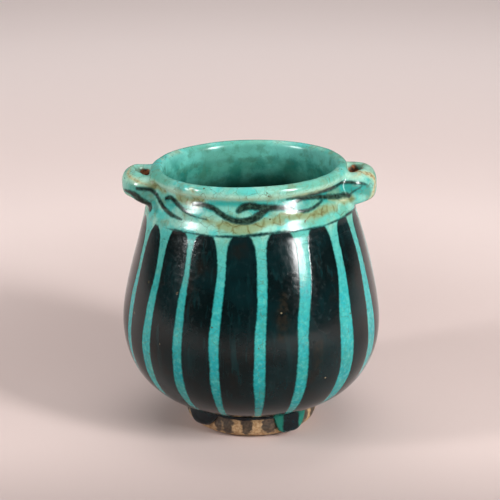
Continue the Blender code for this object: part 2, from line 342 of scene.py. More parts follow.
straps = [
    swept("strap_" + name, [strap_loop(strap, s) for s in [-2, *np.linspace(-1, 1, STRAP_STATIONS), 2]])
    for name, strap in STRAPS.items()
]
print("strap faces:", [len(strap.data.polygons) for strap in straps])

# %% Weld them into one skin and round the joints
VOXEL = 0.62 * MM
SKIN_ROUNDING, ROOT_ROUNDING = 6, 50
take_up(neck)
for strap in straps:
    strap.select_set(True)
bpy.ops.object.join()
finish_with(neck, "REMESH", mode="VOXEL", voxel_size=VOXEL, use_smooth_shade=True)
finish_with(neck, "SMOOTH", factor=0.5, iterations=SKIN_ROUNDING)


def vectors_of(items, field):
    """One row for each vertex."""
    vectors = np.empty(len(items) * 3, np.float32)
    items.foreach_get(field, vectors)
    return vectors.reshape(-1, 3).astype(float)


def vertex_places(piece):
    return vectors_of(piece.data.vertices, "co")


def set_places(piece, places):
    piece.data.vertices.foreach_set("co", places.astype(np.float32).ravel())
    piece.data.update()


def polar(places):
    """Azimuth in degrees from the front, radius and height in millimetres."""
    azimuth = np.degrees(np.arctan2(places[:, 0], -places[:, 1]))
    return azimuth, np.hypot(places[:, 0], places[:, 1]) / MM, places[:, 2] / MM


azimuth, radius, height = polar(vertex_places(neck))
# The roots lie within 30 degrees of each side, from 2.5 mm under the wall's face to 8 mm off it.
stand_off = radius - wall_radius(height)
at_lugs = ease(60 - np.abs(np.abs(azimuth) - 90) * 2, 0, 20)
near_root = at_lugs * ease(stand_off, -2.5, 0) * ease(stand_off, 8, 4)
roots = neck.vertex_groups.new(name="roots")
for index in np.flatnonzero(near_root > 0.02):
    roots.add([int(index)], float(near_root[index]), "REPLACE")
finish_with(neck, "SMOOTH", factor=0.5, iterations=ROOT_ROUNDING, vertex_group="roots")
print("neck skin vertices:", len(neck.data.vertices))

# %% [markdown]
# ### Knocks and softness of the hand
#
# Nothing thrown by hand is true. A slow swell of a few tenths of a millimetre moves the belly, the
# neck and the lugs, and small knocks dent the lip and the lugs. These are moved in the mesh, so they
# catch the light and show in the outline.

# %% Knocks in the clay
# Each knock is its azimuth in degrees, then its height, size and depth in millimetres.
KNOCKS = [
    (-33.5, 138.6, 2.0, 0.35), (-36.5, 140.2, 1.4, 0.30), (-12, 136.0, 1.2, 0.20), (41, 135.6, 1.5, 0.25),
    (82, 136.6, 2.2, 0.55), (84, 127.0, 2.6, 0.30), (-75, 137.4, 1.6, 0.30), (-90, 138.2, 2.0, 0.25),
    (150, 138.9, 2.2, 0.35), (-142, 137.5, 1.6, 0.30), (112, 137.0, 1.5, 0.30), (-104, 136.0, 1.6, 0.30),
]
OUTSIDE = 90.0


def skin_tree(*pieces):
    """A search tree over some pieces, for finding where a brush would touch them."""
    corners, faces = [], []
    for piece in pieces:
        offset = len(corners)
        corners += [tuple(v.co) for v in piece.data.vertices]
        faces += [tuple(offset + i for i in face.vertices) for face in piece.data.polygons]
    return BVHTree.FromPolygons(corners, faces)


def touch(tree, azimuth, height):
    """The place in millimetres where a brush from outside meets the jar, level with that height."""
    turn = radians(azimuth)
    way = Vector((sin(turn), -cos(turn), 0))
    start = way * OUTSIDE * MM + Vector((0, 0, height * MM))
    place = tree.ray_cast(start, -way)[0]
    return np.array(place) / MM if place is not None else None


def hand_swell(places):
    """Slow unevenness, in millimetres, that is the same for every piece at the same place."""
    x, y, z = (places / MM).T
    return (
        0.16 * np.sin(x / 19 + 1.3) * np.sin(y / 23 + z / 31)
        + 0.12 * np.sin(z / 11 + x / 37 + 0.4) * np.cos(y / 29 + 2.0)
        + 0.05 * np.sin(x / 6.1 + z / 7.3) * np.sin(y / 5.7 - z / 9.1)
    )


def press(piece, knocks=()):
    """Moves the skin along its normals by the slow swell, and inwards at the knocks."""
    places = vertex_places(piece)
    move = hand_swell(places)
    for middle, size, depth in knocks:
        away = np.linalg.norm(places / MM - middle, axis=1) / size
        move -= depth * np.exp(-(away**2) * 2.2)
    set_places(piece, places + vectors_of(piece.data.vertex_normals, "vector") * move[:, None] * MM)


bare_tree = skin_tree(neck)
knocks = [(touch(bare_tree, a, h), size, depth) for a, h, size, depth in KNOCKS]
press(neck, knocks)
press(belly)
brush_tree = skin_tree(neck, belly)
print("knocks:", len(knocks))

# %% [markdown]
# ## The painting, laid out as distances
#
# The painter drew tall dark panels, closed them with a thin ring above, and brushed a loose scroll
# round the neck. A brush mark is best kept as a distance: each point of the skin stores how far it
# is, in millimetres, from the edge of the nearest mark, with a minus sign inside. The material turns
# that into a crisp or a bleeding edge at any size, and no picture is needed.

# %% The upright gaps between the panels
# Each gap is its azimuth at the top and at the belly, then its width there.
SEEN_GAPS = [
    (-68.5, -68.5, 3.6, 5.5), (-50.0, -52.0, 4.2, 6.6), (-32.0, -33.5, 2.8, 5.6), (-14.3, -16.0, 4.6, 5.0),
    (5.5, 3.6, 4.8, 5.6), (27.0, 22.2, 6.4, 6.0), (48.5, 45.7, 5.6, 9.4), (67.9, 66.4, 5.0, 9.4),
]
UNSEEN_GAPS = 11
UNSEEN_START, UNSEEN_STEP = 85.6, 18.8
RING_HEIGHT = 118.2
RING_HALF = 0.42
FLARE, FLARE_FADE = 3.0, 3.2
DOME_FLARE, DOME_FADE = 2.4, 1.6
FAR = 1e3

gaps = list(SEEN_GAPS)
for k in range(UNSEEN_GAPS):
    top = UNSEEN_START + UNSEEN_STEP * k + 1.6 * sin(2.3 * k)
    belly_turn = top + 1.5 * sin(1.7 * k + 1)
    gaps.append((top, belly_turn, 4.4 + 0.9 * sin(3.1 * k), 6.4 + 1.2 * sin(1.9 * k + 2)))


def panel_distance(azimuth, radius, height):
    """Millimetres from the edge of the dark panels and of the ring above them."""
    around = np.radians(azimuth)
    ring = RING_HEIGHT + 0.8 * np.sin(around * 2 + 0.6) + 0.35 * np.sin(around * 7)
    down = ease(height, 106, 62)
    under = np.clip(ring - height, 0, None)
    # Round the left side the ring is missing and the panels end in domes.
    domed = ease(azimuth, -42, -56) * ease(azimuth, -125, -108)
    flare = (FLARE + DOME_FLARE * domed) * np.exp(-under / (FLARE_FADE + DOME_FADE * domed))
    taper = 0.68 + 0.32 * ease(height, 20, 44)
    into_gap = np.full(len(azimuth), FAR)
    for k, (top, belly_turn, top_width, belly_width) in enumerate(gaps):
        middle = top + (belly_turn - top) * down
        width = (top_width + (belly_width - top_width) * down) * taper
        wave = 0.30 * np.sin(height / 9 + 2.1 * k) + 0.16 * np.sin(height / 3.7 + 5 * k)
        turn = (azimuth - middle + 180) % 360 - 180
        off = np.abs(np.radians(turn) * radius + wave * 0.6)
        into_gap = np.minimum(into_gap, off - (width / 2 + flare + wave * 0.4))
    panels = np.maximum(-into_gap, height - ring)
    line = RING_HALF * (1 + 0.45 * np.sin(around * 5 + 1) + 0.25 * np.sin(around * 23))
    return np.minimum(panels, np.abs(height - ring) - line * (1 - domed) + 0.6 * domed)


# %% [markdown]
# ### The scroll
#
# Each stroke is a few touches of the brush: azimuth in degrees, height and half the brush's width
# in millimetres. A smooth curve is drawn through the touches, and each of its points is laid on the
# skin from outside, so a stroke can run from the neck on to a lug.

# %% Strokes of the scroll
SCROLL = {
    "leaf on the left lug": [
        (-83, 130.4, 0.5), (-77.6, 130.2, 1.3), (-75.2, 128.8, 2.1), (-74, 126.2, 2.7), (-72.6, 123.2, 2.6),
    ],
    "vine": [
        (-74.4, 133.2, 0.9), (-71.1, 133, 0.9), (-68.4, 130.8, 1.0), (-61, 128.5, 1.1), (-55.6, 126.6, 1.3),
        (-49, 124.7, 1.1), (-40, 123.4, 0.4),
    ],
    "sprig": [
        (-56.3, 131.1, 1.0), (-51.2, 132.1, 1.1), (-45, 130.3, 1.1), (-37.5, 127.7, 0.7), (-32, 126.2, 0.3),
        (-24, 125.4, 0.2),
    ],
    "wave": [
        (-33.4, 131.5, 0.8), (-29.9, 132.2, 1.1), (-24.7, 131.8, 1.2), (-20.2, 130.8, 1.3),
        (-14.6, 128.1, 1.4), (-8.8, 125.9, 1.4), (-3, 125.4, 1.6), (1.5, 126.2, 1.8), (5, 128, 1.9),
        (8.5, 129.9, 1.5), (13, 131.2, 0.9),
    ],
    "leaf under the lip": [
        (-6, 130.2, 1.3), (-3.6, 131.7, 1.9), (0, 132.5, 1.8), (4, 131.9, 1.7), (10, 131.3, 1.6),
        (18, 130.6, 1.3), (24, 129.8, 0.7),
    ],
    "curl": [
        (27.6, 128.2, 0.6), (31, 127.6, 0.8), (35, 127.7, 0.8), (40, 128.7, 0.7), (44.5, 130, 0.5),
        (46.5, 131, 0.4),
    ],
    "bar": [
        (27.8, 132.9, 1.1), (32, 133.6, 1.1), (38, 133.1, 1.1), (46, 131.9, 1.2), (57, 129.9, 1.3),
        (68, 127.9, 1.5), (70.5, 127.4, 1.2),
    ],
    "line in the crease": [
        (22, 134.6, 0.4), (28, 134.8, 0.9), (36, 134.9, 1.3), (47, 134.6, 1.2), (60, 134.2, 1.0),
        (70, 134.3, 0.9), (74, 133.2, 0.7), (77, 131.8, 0.3),
    ],
    "tendril": [(70.5, 127.6, 0.4), (72.2, 130, 0.3), (74.6, 131.5, 0.1)],
}
# Behind, the painter went on in the same way: the strokes again, turned round the neck in degrees.
TURNED_STROKES = [
    ("vine", 176), ("sprig", 174), ("wave", 180), ("leaf under the lip", 181), ("curl", 184), ("bar", 183),
    ("leaf on the left lug", 178), ("curl", 96),
]
CURVE_STEPS = 7
THINNEST = 0.1


def brush_curve(touches):
    """A Catmull-Rom curve through the touches of the brush."""
    points = np.array([touches[0], *touches, touches[-1]], float)
    curve = []
    for a, b, c, d in zip(points, points[1:], points[2:], points[3:]):
        for t in np.arange(CURVE_STEPS) / CURVE_STEPS:
            line = 2 * b + (c - a) * t
            curve.append(0.5 * (line + (2 * a - 5 * b + 4 * c - d) * t * t + (3 * b - a - 3 * c + d) * t**3))
    return np.array(curve + [points[-1]])


def laid(touches, turn=0.0):
    """The curve's places on the skin, with its half widths, in millimetres."""
    path = [(touch(brush_tree, a + turn, h), max(w, THINNEST)) for a, h, w in brush_curve(touches)]
    return [(place, width) for place, width in path if place is not None]


def stroke_distance(places, strokes):
    """Millimetres from the edge of the nearest stroke, minus inside."""
    nearest = np.full(len(places), FAR)
    points = places / MM
    for path in strokes:
        for (a, wide_a), (b, wide_b) in zip(path, path[1:]):
            span = b - a
            share = np.clip(((points - a) @ span) / max(span @ span, 1e-9), 0, 1)
            away = np.linalg.norm(points - a - share[:, None] * span, axis=1)
            nearest = np.minimum(nearest, away - (wide_a + (wide_b - wide_a) * share))
    return nearest


scroll = [laid(stroke) for stroke in SCROLL.values()]
scroll += [laid(SCROLL[name], turn) for name, turn in TURNED_STROKES]
print("strokes of the scroll:", len(scroll))

# %% [markdown]
# ### Wear and bare clay
#
# Glaze pulls thin on sharp edges and wears there, so the under edge of the lip and the lugs show
# cream and brown; on the top edges of the lugs that cream is also a painted highlight. Earth has
# crept into the cracks and left olive and brown stains. Under the lip and at the roots of the lugs
# the turquoise is painted darker, partly glaze that pooled and stayed clear and deep, partly painted
# shade. The bores of the lugs were never reached by the glaze. All are stored as distances too.

# %% Where the glaze is worn, stained, pooled or missing, and where shade and highlights are painted
LIP_EDGE = 135.9
WORN_AND_HIGHLIT = {
    "lip edge, front": [
        (a, LIP_EDGE + 0.15 * sin(a / 7), 0.40 + 0.28 * sin(a / 11) * sin(a / 3.7)) for a in range(-58, 59, 6)
    ],
    "lip edge, back": [
        (a, LIP_EDGE + 0.15 * sin(a / 7), 0.40 + 0.28 * sin(a / 11)) for a in range(122, 239, 6)
    ],
    "lip chip": [(-34.5, 139.2, 1.1), (-32, 138.2, 0.9)],
    # Along the top front edge of the left lug the cream is a painted highlight as well as wear.
    "left lug": [
        (-96, 139.4, 0.6), (-89, 139.2, 1.0), (-82, 138.0, 1.3), (-76, 136.8, 1.3), (-71.5, 135.2, 0.8),
    ],
    "right lug": [(81.5, 136.4, 2.4), (83, 134.0, 2.6), (83.5, 131, 2.1), (82.5, 127, 2.6), (81, 123.4, 1.9)],
    # On the top of the right lug's front arm the pale cream is partly a painted highlight, partly wear.
    "right lug top": [(74, 136.2, 0.7), (78, 136.8, 1.4), (84, 137.8, 1.8), (91, 138.4, 1.4)],
    "left lug foot": [(-82, 128.3, 0.7), (-79, 128.0, 0.5)],
    "pits by the right lug": [(57, 126.6, 0.4), (63, 126.4, 0.8), (69, 125.2, 0.8)],
}
STAINED = {
    "under the wave": [
        (-25, 125, 1.0), (-19.8, 124.4, 1.6), (-12, 122.8, 1.8), (0, 121.8, 1.8), (8, 123.6, 1.6),
        (17, 125.4, 1.2),
    ],
    "right of the wave": [
        (17, 127.3, 0.6), (24, 126.3, 0.8), (33, 124.8, 1.2), (40, 125.4, 1.5), (48, 125.8, 1.4),
        (56, 124.8, 1.0),
    ],
    "in the crease": [(-46, 133.6, 0.9), (-40, 132.6, 1.4), (-34, 132.6, 1.5), (-28, 134, 1.0)],
    "by the right lug": [(52, 130.4, 0.6), (60, 127.6, 1.0), (66, 126.0, 1.7), (71, 125.4, 1.5)],
    "left root": [(-71, 134.6, 1.6), (-66, 134.4, 1.3), (-58, 134.2, 0.8)],
    "brown, middle panel": [(14.6, 89, 1.6), (14.2, 79, 2.6), (12.4, 69, 1.8)],
    "brown, right panel": [(29.5, 63, 1.4), (29.5, 53, 2.0)],
    "neck, behind": [(150, 124, 2.0), (165, 127, 2.2), (182, 123, 2.4), (200, 126, 1.8), (221, 124, 2.0)],
    "brown, behind": [(163, 80, 2.4), (161, 68, 1.6)],
}
# Painted shade, with some pooled glaze: deeper, darker turquoise under the lip and at the lug roots.
POOLED_AND_SHADED = {
    "under the lip": [(-22, 133.2, 0.6), (-8, 133.6, 1.2), (4, 133.4, 1.0), (14, 133.0, 0.5)],
    "right lug": [(71, 130.4, 1.4), (76, 129.6, 2.6), (78.5, 127.0, 1.6)],
    "left lug": [(-69, 126.2, 1.6), (-64, 124.4, 1.8)],
}
CHIPS = [
    (-36.1, 87.6, 0.8), (-55.9, 88.2, 1.1), (71.8, 91.8, 1.1), (-6, 62, 0.4), (33, 78, 0.35), (120, 95, 0.9),
    (-150, 70, 1.0), (170, 104, 0.7),
]
BORE_MIDDLE, BORE_HALF_X, BORE_HALF_Y = 54.4, 4.6, 9.6

marks = {
    name: [laid(stroke) for stroke in strokes.values()]
    for name, strokes in (("worn_and_highlit", WORN_AND_HIGHLIT), ("stained", STAINED), ("pooled_and_shaded", POOLED_AND_SHADED))
}
marks["worn_and_highlit"] += [laid([(a, h - 0.3, size), (a + 0.3, h + 0.6, size * 0.5)]) for a, h, size in CHIPS]
print("marks:", {name: len(strokes) for name, strokes in marks.items()})


def bare_distance(places):
    """Inside the bores of the lugs the clay is bare, but not at their very top or below them."""
    x, y, z = (places / MM).T
    across = np.hypot((np.abs(x) - BORE_MIDDLE) / BORE_HALF_X, y / BORE_HALF_Y)
    return (across - 1) * BORE_HALF_X + 1.8 * ease(z, 136.2, 138.4) + 6 * ease(z, 124.0, 119.5)


# %% Helpers that paint a piece
FURTHEST = 5.0
MID_WALL = 2.8
LIP_OUTSIDE, LIP_INSIDE = 46.4, 44.9


def store(piece, name, values):
    layer = piece.data.attributes.new(name, "FLOAT", "POINT")
    layer.data.foreach_set("value", values.astype(np.float32))


def store_distance(piece, name, distance):
    store(piece, name, np.clip(distance, -FURTHEST, FURTHEST))


def paint(piece):
    """Writes what the glaze reads: the distances from its marks, the inside and the height."""
    places = vertex_places(piece)
    azimuth, radius, height = polar(places)
    off_middle = radius - (wall_radius(height) - MID_WALL)
    in_lip = ease(radius, LIP_OUTSIDE, LIP_INSIDE)
    inside = np.where(height > CREASE_HEIGHT / MM, in_lip, ease(off_middle, 0.4, -0.4))
    dark = np.minimum(panel_distance(azimuth, radius, height), stroke_distance(places, scroll))
    store_distance(piece, "dark", np.where(inside > 0.5, FURTHEST, dark))
    for name, strokes in marks.items():
        store_distance(piece, name, stroke_distance(places, strokes))
    store_distance(piece, "bare", bare_distance(places))
    store(piece, "inside", inside)
    store(piece, "height", height)


# %% [markdown]
# ## Parting the skin into its pieces of clay
#
# The lip, the collar and the lugs are separate pieces of clay, so they are separate pieces here
# too. A solid that follows the wall, a hair outside it, cuts the lugs off by a Boolean. It passes
# straight over the crease, so that it touches nothing but the lugs. A flat cut then parts the lip
# from the collar. The normals of the whole skin are carried over, so no cut shows.

# %% Part the lugs, the lip and the collar
CUT_STAND_OFF = 0.45 * MM
UNDER_CREASE = 4.0 * MM
CUT_TURNS = 180
CUTTER_BOTTOM = 90.0 * MM
CUTTER_TOP_RADIUS, CUTTER_TOP = 50.3 * MM, 150.0 * MM


def copy_of(piece, name):
    take_up(piece)
    bpy.ops.object.duplicate()
    twin = bpy.context.object
    twin.name = twin.data.name = name
    return twin


def cut_flat(piece, height, keep_above):
    """Cuts a piece level at a height and closes the cut."""
    open_up(piece)
    bpy.ops.mesh.bisect(
        plane_co=(0, 0, height), plane_no=(0, 0, 1), clear_inner=keep_above, clear_outer=not keep_above
    )
    bpy.ops.mesh.bridge_edge_loops()
    bpy.ops.object.mode_set(mode="OBJECT")


cutter_wall = wall(UPPER_WALL, under_share, share_at(CREASE_HEIGHT - UNDER_CREASE), -CUT_STAND_OFF)
cutter_outline = np.vstack((
    [(0, CUTTER_BOTTOM), (cutter_wall[0][0], CUTTER_BOTTOM)], cutter_wall,
    lip_roll(-20, 55, 9, CUT_STAND_OFF), [(CUTTER_TOP_RADIUS, CUTTER_TOP), (0, CUTTER_TOP)],
))
cutter = turned("cutter", cutter_outline, CUT_TURNS)
lugs = copy_of(neck, "lugs")
collar = copy_of(neck, "pot_neck_collar")
finish_with(lugs, "BOOLEAN", operation="DIFFERENCE", solver="EXACT", object=cutter)
finish_with(collar, "BOOLEAN", operation="INTERSECT", solver="EXACT", object=cutter)
lip = copy_of(collar, "pot_rim_lip")
cut_flat(lip, CREASE_HEIGHT, True)
cut_flat(collar, CREASE_HEIGHT, False)
cut_flat(collar, SEAM_HEIGHT, True)

take_up(lugs)
bpy.ops.object.mode_set(mode="EDIT")
bpy.ops.mesh.separate(type="LOOSE")
bpy.ops.object.mode_set(mode="OBJECT")
parts = [item for item in bpy.context.selected_objects if item.type == "MESH"]
parts.sort(key=lambda item: -len(item.data.vertices))
for crumb in parts[2:]:
    bpy.data.objects.remove(crumb)
handle_left, handle_right = sorted(parts[:2], key=lambda item: item.data.vertices[0].co.x)
for handle, name in ((handle_left, "pot_handle_left"), (handle_right, "pot_handle_right")):
    handle.name = handle.data.name = name
parted = [collar, lip, handle_left, handle_right]
for piece in parted:
    piece.vertex_groups.clear()
    print(piece.name, "faces:", len(piece.data.polygons))

# %% Paint the pieces and carry the normals over
for piece in (belly, *parted):
    take_up(piece)
    bpy.ops.object.shade_smooth()
    paint(piece)
for piece in parted:
    finish_with(
        piece, "DATA_TRANSFER", object=neck, use_loop_data=True,
        data_types_loops={"CUSTOM_NORMAL"}, loop_mapping="POLYINTERP_NEAREST",
    )
take_up(belly)
bpy.ops.object.shade_smooth_by_angle(angle=radians(50))

# %% [markdown]
# ## The foot
#
# The foot ring was trimmed from bare buff clay and has stood on rough ground for centuries. It is
# turned like the rest, then a Displace modifier with a cloud texture gives it a gritty, worn skin
# that is real shape and not only shading. Earth and glaze left dark patches round its side, which
# are stored as a distance, as the painting is.

# %% Turn and roughen the foot ring
FOOT_RADIUS = 35.0
FOOT_CONTACT = 26.2
FOOT_BORE = 20.0
FOOT_EDGE_RISE = 8.0
FOOT_FACE, FOOT_LIMIT = 13.8, 13.9
CONTACT_START, BORE_EDGE = 21.2, 1.2
FOOT_TURNS = 300
GRIME_MIDDLE, GRIME_HALF = 8.4, 5.2
# Dark patches on its side: azimuth in degrees and half width in millimetres.
GRIME = [
    (-21, 3.0), (-4, 3.0), (17, 4.4), (54, 2.4), (70, 4.0), (88, 2.6), (109, 4.6), (131, 3.0), (150, 4.2),
    (172, 3.2), (194, 4.8), (218, 3.0), (237, 4.0), (262, 3.4), (283, 4.4), (330, 2.2),
]


def foot_side(height):
    """The foot's outer radius: a quarter ellipse from the contact ring, then upright."""
    share = np.clip(1 - np.asarray(height, float) / FOOT_EDGE_RISE, 0, 1)
    return FOOT_CONTACT + (FOOT_RADIUS - FOOT_CONTACT) * np.sqrt(1 - share**2)


def grime_distance(places):
    """Millimetres from the edge of the nearest dark patch, minus inside."""
    azimuth, radius, height = polar(places)
    nearest = np.full(len(places), FAR)
    for middle, half in GRIME:
        turn = (azimuth - middle + 180) % 360 - 180
        across = np.hypot(np.radians(turn) * radius / half, (height - GRIME_MIDDLE) / GRIME_HALF)
        nearest = np.minimum(nearest, (across - 1) * half)
    return nearest


def straight(start, end, count):
    return np.linspace(start, end, count)[1:]


quarter = np.linspace(0, pi / 2, 22)
foot_edge = np.column_stack((
    FOOT_CONTACT + (FOOT_RADIUS - FOOT_CONTACT) * np.sin(quarter), FOOT_EDGE_RISE * (1 - np.cos(quarter))
))
foot_outline = np.vstack((
    foot_edge,
    straight((FOOT_RADIUS, FOOT_EDGE_RISE), (FOOT_RADIUS, FOOT_FACE), 12),
    straight((FOOT_RADIUS, FOOT_FACE), (FOOT_BORE, FOOT_FACE), 8),
    straight((FOOT_BORE, FOOT_FACE), (FOOT_BORE, BORE_EDGE), 16),
    [(FOOT_BORE + 0.4, 0.45), (CONTACT_START, 0)],
    straight((CONTACT_START, 0), (FOOT_CONTACT, 0), 9)[:-1],
))
foot = turned("pot_foot_ring", foot_outline * MM, FOOT_TURNS)
for name, size, strength in (("clay lumps", 3.6, 0.50), ("clay grit", 1.1, 0.22)):
    grain = bpy.data.textures.new(name, "CLOUDS")
    grain.noise_scale = size * MM
    grain.noise_depth = 3
    finish_with(
        foot, "DISPLACE", texture=grain, texture_coords="LOCAL", strength=strength * MM, mid_level=0.55
    )
places = vertex_places(foot)
places[:, 2] = np.clip(places[:, 2], 0, FOOT_LIMIT * MM)
set_places(foot, places)
store_distance(foot, "grime", grime_distance(places))
take_up(foot)
bpy.ops.object.shade_smooth_by_angle(angle=radians(60))
print("foot faces:", len(foot.data.polygons))

# %% [markdown]
# ## The thick glass round the foot
#
# In the kiln the lead glaze crept down and stopped in a rolled bead under the belly, and in two
# places it ran over the foot. Glass sags into drops with round lower edges and pulls into a fillet
# where it meets the wall above. One section, whose drop and thickness change with the azimuth, is
# swept round the foot in four stretches.

# %% Sweep the bead and its two runs
BEAD_BOTTOM, BEAD_THICK = 11.8, 1.6
# The middle and half width of a run are in degrees, its drop and swell in millimetres.
RUNS = {
    "left": dict(middle=-47.0, half=18.0, drop=6.8, swell=2.0, blunt=2.4),
    "right": dict(middle=35.5, half=16.0, drop=9.2, swell=0.9, blunt=4),
}
STATION = 1.5
FILLET = 1.3
FILLET_SPREAD = 1.5
SUNK = 0.25
CORE_HALF = 8.0
lower_radius, lower_height = (along_curve(LOWER_WALL, FINE)[0] / MM).T


def underside(radius):
    """The height of the belly's lower face at a radius, both in millimetres."""
    return float(np.interp(radius, lower_radius, lower_height))


def glass_loop(turn):
    """The section of the glass at an azimuth in degrees, as places in metres."""
    a = radians(turn)
    bottom = BEAD_BOTTOM + 0.30 * sin(a * 9) + 0.18 * sin(a * 23 + 1)
    thick = BEAD_THICK * (0.86 + 0.14 * sin(a * 5 + 2))
    for run in RUNS.values():
        off = abs((turn - run["middle"] + 180) % 360 - 180) / run["half"]
        if off < 1:
            fullness = 1 - off ** run["blunt"]
            bottom -= run["drop"] * fullness
            thick += run["swell"] * fullness
    outer = FOOT_RADIUS + thick
    top = underside(outer) + 0.1
    shoulder = top - FILLET
    round_height = min(thick * 1.1, (shoulder - bottom) * 0.8)
    back = np.linspace(underside(FOOT_RADIUS + 0.5) + SUNK, bottom + 0.2, 6)
    section = [(float(foot_side(z)) - SUNK, z) for z in back]
    for angle in np.linspace(0, pi / 2, 7):
        z = bottom + round_height * (1 - cos(angle))
        clay = float(foot_side(z))
        section.append((clay + (outer - clay) * sin(angle), z))
    section += [(outer, z) for z in np.linspace(bottom + round_height, shoulder, 4)[1:]]
    for angle in np.linspace(0, pi / 2, 6)[1:]:
        radius = outer + FILLET * FILLET_SPREAD * (1 - cos(angle))
        section.append((radius, min(shoulder + FILLET * sin(angle), underside(radius) + 0.12)))
    section.append((outer + 0.4, underside(outer + 0.4) + SUNK + 0.2))
    return [(radius * sin(a) * MM, -radius * cos(a) * MM, z * MM) for radius, z in section]


def glass_stretch(name, start, end):
    """One stretch of the glass, dark but for the sides of the right run, where it thins out."""
    stations = np.linspace(start, end, max(4, round((end - start) / STATION)) + 1)
    piece = swept(name, [glass_loop(turn) for turn in stations])
    take_up(piece)
    bpy.ops.object.shade_smooth_by_angle(angle=radians(50))
    azimuth = polar(vertex_places(piece))[0]
    off = azimuth - RUNS["right"]["middle"]
    in_right_run = np.abs(off) < RUNS["right"]["half"] * 1.05
    store(piece, "dark", np.where(in_right_run, np.abs(off + 1.0) - CORE_HALF, -FURTHEST) * 0.6)
    return piece


GLASS_STOPS = [-62.0, -24.0, 19.5, 51.5]
GLASS_NAMES = ["run_left", "edge_front", "run_right", "edge_back"]
run_left, edge_front, run_right, edge_back = (
    glass_stretch("pot_glaze_" + name, start, end)
    for name, start, end in zip(GLASS_NAMES, GLASS_STOPS, [*GLASS_STOPS[1:], GLASS_STOPS[0] + 360])
)
print("glass faces:", [len(p.data.polygons) for p in (run_left, edge_front, run_right, edge_back)])

# %% [markdown]
# ## The lean
#
# The neck of the jar tips a little to the left, as soft clay does under a slow hand. The belly, the
# collar, the lip and the lugs go through the same gentle bend, so that they stay together. It starts
# high on the belly, so the foot and its glass keep their place.

# %% Tip the neck
LEAN = radians(1.4)
LEAN_START, LEAN_PIVOT, LEAN_FULL = 80 * MM, 88 * MM, 110 * MM


def lean(piece):
    places = vertex_places(piece)
    angle = -LEAN * ease(places[:, 2], LEAN_START, LEAN_FULL)
    x, rise = places[:, 0].copy(), places[:, 2] - LEAN_PIVOT
    places[:, 0] = x * np.cos(angle) + rise * np.sin(angle)
    places[:, 2] = LEAN_PIVOT + rise * np.cos(angle) - x * np.sin(angle)
    set_places(piece, places)


for scrap in (neck, cutter):
    bpy.data.objects.remove(scrap)
for piece in (belly, *parted):
    lean(piece)
    print(piece.name, "top mm:", round(vertex_places(piece)[:, 2].max() / MM, 1))

# %% [markdown]
# ## Words for building a material
#
# The materials are node trees. These short helpers add a node and join its sockets, so that each
# finish below reads as a recipe. A socket knows the tree it lies in, so only the helpers that start
# from nothing are told the tree. Colours are written as they look on screen and are turned into the
# linear values that the shader needs.

# %% Helpers for numbers
def new_material(name):
    material = bpy.data.materials.new(name)
    material.use_nodes = True
    return material, material.node_tree, material.node_tree.nodes["Principled BSDF"]


def feed(socket, value):
    if isinstance(value, bpy.types.NodeSocket):
        socket.id_data.links.new(value, socket)
    else:
        socket.default_value = value


def stored(tree, name):
    node = tree.nodes.new("ShaderNodeAttribute")
    node.attribute_name = name
    return node.outputs["Fac"]


def calc(operation, first, second=0.0):
    node = first.id_data.nodes.new("ShaderNodeMath")
    node.operation = operation
    feed(node.inputs[0], first)
    feed(node.inputs[1], second)
    return node.outputs[0]


def plus(first, second):
    return calc("ADD", first, second)


def minus(first, second):
    return calc("SUBTRACT", first, second)


def times(first, second):
    return calc("MULTIPLY", first, second)


def stirred(value, noise, reach):
    """The value moved up and down by noise, by up to half that reach."""
    return plus(value, times(minus(noise, 0.5), reach))


def between(value, low, high, start=0.0, end=1.0):
    """Rises smoothly from start to end as the value goes from low to high."""
    node = value.id_data.nodes.new("ShaderNodeMapRange")
    node.interpolation_type = "SMOOTHSTEP"
    numbers = {"Value": value, "From Min": low, "From Max": high, "To Min": start, "To Max": end}
    for name, number in numbers.items():
        feed(node.inputs[name], number)
    return node.outputs["Result"]


# %% Helpers for colours
def tint(red, green, blue):
    linear = [((c / 255 + 0.055) / 1.055) ** 2.4 if c > 10 else c / 255 / 12.92 for c in (red, green, blue)]
    return (*linear, 1.0)


def mixed(share, first, second):
    node = share.id_data.nodes.new("ShaderNodeMix")
    node.data_type = "RGBA"
    for index, value in ((0, share), (6, first), (7, second)):
        feed(node.inputs[index], value)
    return node.outputs[2]


def washed(colour, *washes):
    """Lays washes over a colour, one after another. Each is its share and its own colour."""
    for share, wash in washes:
        colour = mixed(share, colour, wash)
    return colour


# %% Helpers for patterns on the skin
CLOUD_ROUGHNESS = 0.55


def placed(tree, stretch=(1, 1, 1), shift=(0, 0, 0)):
    """Object coordinates, stretched and shifted."""
    where = tree.nodes.new("ShaderNodeTexCoord")
    mapping = tree.nodes.new("ShaderNodeMapping")
    mapping.inputs["Scale"].default_value = stretch
    mapping.inputs["Location"].default_value = shift
    feed(mapping.inputs["Vector"], where.outputs["Object"])
    return mapping.outputs["Vector"]


def cloud(tree, size, detail, stretch=(1, 1, 1), shift=(0, 0, 0)):
    """Noise whose lumps are about that many millimetres across."""
    node = tree.nodes.new("ShaderNodeTexNoise")
    node.inputs["Scale"].default_value = 1 / (size * MM)
    node.inputs["Detail"].default_value = detail
    node.inputs["Roughness"].default_value = CLOUD_ROUGHNESS
    feed(node.inputs["Vector"], placed(tree, stretch, shift))
    return node.outputs["Fac"]


